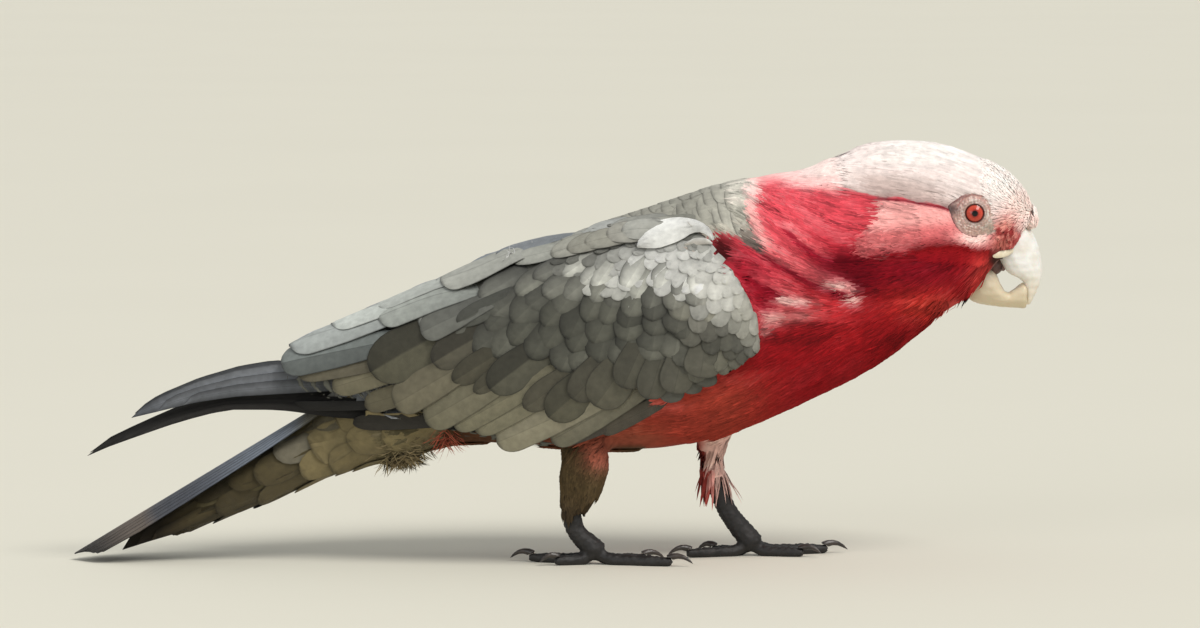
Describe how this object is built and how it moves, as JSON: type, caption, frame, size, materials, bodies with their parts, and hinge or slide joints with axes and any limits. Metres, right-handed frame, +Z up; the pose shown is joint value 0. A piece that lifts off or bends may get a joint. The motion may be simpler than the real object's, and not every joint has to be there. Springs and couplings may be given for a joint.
{
  "type": "galah",
  "caption": "Life-size galah, a grey and rose cockatoo, standing with its neck stretched forward, bill a little open and wings folded; a still model for display.",
  "frame": {"origin": "on the floor, under the middle of the bird's length and width", "axes": "+X towards the bill, +Y towards the bird's left side, +Z up"},
  "size_m": [0.334, 0.0844, 0.1452],
  "materials": {
    "white_plumage": "soft pinkish white feathers",
    "rose_plumage": "soft rose-red feathers",
    "grey_plumage": "matte grey feathers",
    "dark_feather": "satin blackish grey flight feathers",
    "bill": "satin pale horn",
    "cere": "soft bare skin and short down",
    "tongue": "moist dark flesh",
    "eye": "wet gloss, red iris",
    "foot_skin": "scaly dark grey skin",
    "claw": "satin black horn"
  },
  "bodies": {
    "root": {"bill_lower": "bill", "bill_upper": "bill", "cere": "cere", "claw_L_1": "claw", "claw_L_2": "claw", "claw_L_3": "claw", "claw_L_4": "claw", "claw_R_1": "claw", "claw_R_2": "claw", "claw_R_3": "claw", "claw_R_4": "claw", "crest": "white_plumage", "eye_L": "eye", "eye_R": "eye", "foot_L": "foot_skin", "foot_R": "foot_skin", "head": "white_plumage", "inner_primaries_L": "dark_feather", "inner_primaries_R": "dark_feather", "neck": "rose_plumage", "outer_primaries_L": "dark_feather", "outer_primaries_R": "dark_feather", "rump": "grey_plumage", "tail": "dark_feather", "thigh_L": "grey_plumage", "thigh_R": "grey_plumage", "tongue": "tongue", "trunk": "rose_plumage", "undertail": "grey_plumage", "wing_L": "grey_plumage", "wing_R": "grey_plumage"}
  },
  "joints": []
}
